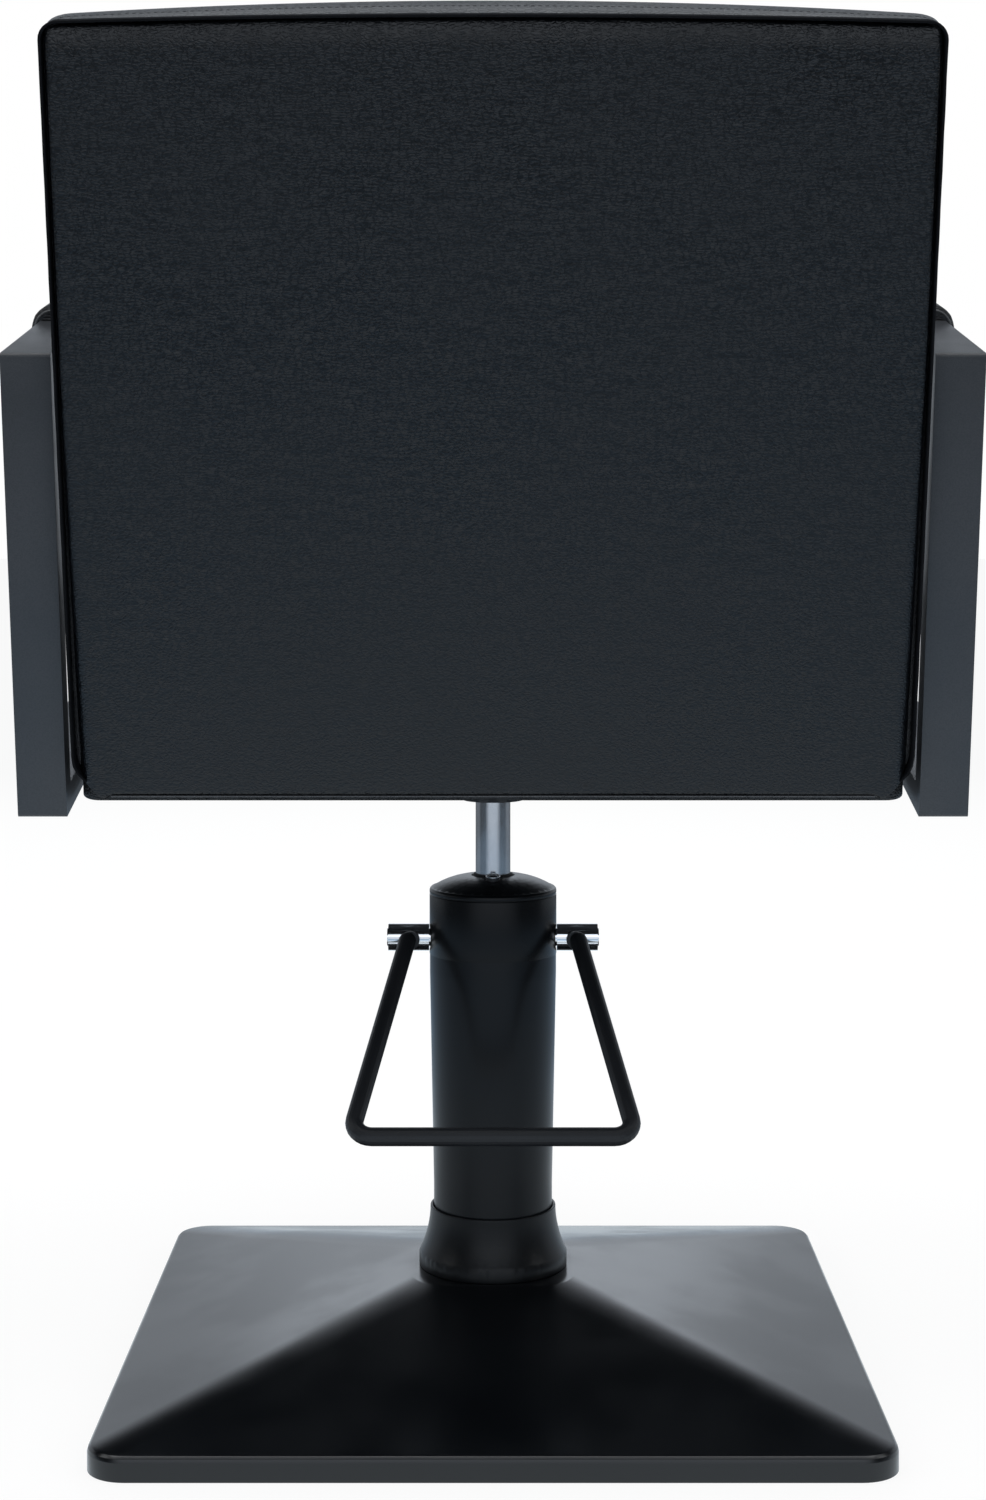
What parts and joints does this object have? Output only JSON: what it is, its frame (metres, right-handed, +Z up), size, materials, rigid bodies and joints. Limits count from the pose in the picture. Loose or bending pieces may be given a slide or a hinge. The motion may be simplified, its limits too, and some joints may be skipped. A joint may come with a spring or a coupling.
{
  "type": "hairdressing chair",
  "caption": "Low-backed hairdressing chair with square-section arm loops on a hydraulic pump column, foot pedal and square pyramid base.",
  "frame": {"origin": "on the floor under the pump's axis, at the middle of the base plate's underside", "axes": "+Z up along the pump's axis, -Y towards the chair's front, +X towards the sitter's left arm"},
  "size_m": [0.685, 0.6554, 0.9974],
  "materials": {
    "base_paint": "satin black powder coat",
    "plate_steel": "dark primed steel",
    "pad_rubber": "matt black rubber",
    "collar_plastic": "satin black moulding",
    "pump_paint": "satin black enamel",
    "machined_steel": "turned steel",
    "bronze": "turned bronze",
    "bright_chrome": "bright chrome plate",
    "zinc": "zinc plated fastener",
    "black_screw": "black oxide fastener",
    "pedal_paint": "satin black powder coat",
    "frame_paint": "fine textured black powder coat",
    "plywood": "birch plywood",
    "under_cloth": "black non-woven cloth",
    "leatherette": "black pebble-grain leatherette over foam"
  },
  "bodies": {
    "base": {"base_cover": "base_paint", "base_plate": "plate_steel", "anti_slip_pads": "pad_rubber", "pump_flange": "plate_steel", "flange_bolts": "zinc", "base_collar": "collar_plastic", "pump_housing": "pump_paint", "pump_cap": "pump_paint", "lift_cylinder": "machined_steel", "cylinder_gland": "bronze", "rod_guide_bush": "bronze", "rod_wiper": "pad_rubber", "filler_plug": "bright_chrome", "pivot_bushes": "bronze", "pump_barrel": "machined_steel"},
    "pedal": {"pivot_shafts": "bright_chrome", "pivot_sleeves": "bright_chrome", "pedal_bosses": "pedal_paint", "pedal_loop": "pedal_paint", "pedal_yoke": "machined_steel"},
    "plunger": {"pump_plunger": "machined_steel", "plunger_spring": "machined_steel"},
    "piston": {"lift_piston": "machined_steel", "piston_seal": "pad_rubber", "swivel_bearing": "machined_steel"},
    "seat_unit": {"piston_rod": "bright_chrome", "seat_bracket": "pedal_paint", "hub_bolts": "black_screw", "plate_bolts": "zinc", "seat_board": "plywood", "dust_cover": "under_cloth", "seat_cushion": "leatherette", "left_arm_frame": "frame_paint", "right_arm_frame": "frame_paint", "frame_bolts": "black_screw", "frame_spacers": "collar_plastic", "left_arm_pad": "leatherette", "right_arm_pad": "leatherette", "back_board": "plywood", "back_cushion": "leatherette", "back_rear_panel": "leatherette", "back_straps": "plate_steel", "strap_bolts": "zinc", "bottom_screw": "zinc"}
  },
  "joints": [
    {"name": "seat_lift", "type": "slide", "parent": "base", "child": "piston", "axis": [0, 0, 1], "range_m": [-0.045, 0.105]},
    {"name": "seat_swivel", "type": "hinge", "parent": "piston", "child": "seat_unit", "pos_m": [0, 0, 0.4], "axis": [0, 0, 1], "continuous": true},
    {"name": "pedal_pivot", "type": "hinge", "parent": "base", "child": "pedal", "pos_m": [0, 0, 0.3234], "axis": [-1, 0, 0], "range_deg": [0, 25], "stiffness_Nm_per_rad": 4, "springref_deg": -28.65},
    {"name": "plunger_slide", "type": "slide", "parent": "base", "child": "plunger", "axis": [0, 0, -1], "range_m": [0, 0.0131], "deforming": ["plunger_spring"]}
  ],
  "couplings": [
    {"joint": "plunger_slide", "follows": "pedal_pivot", "m_per_rad": 0.029763}
  ]
}
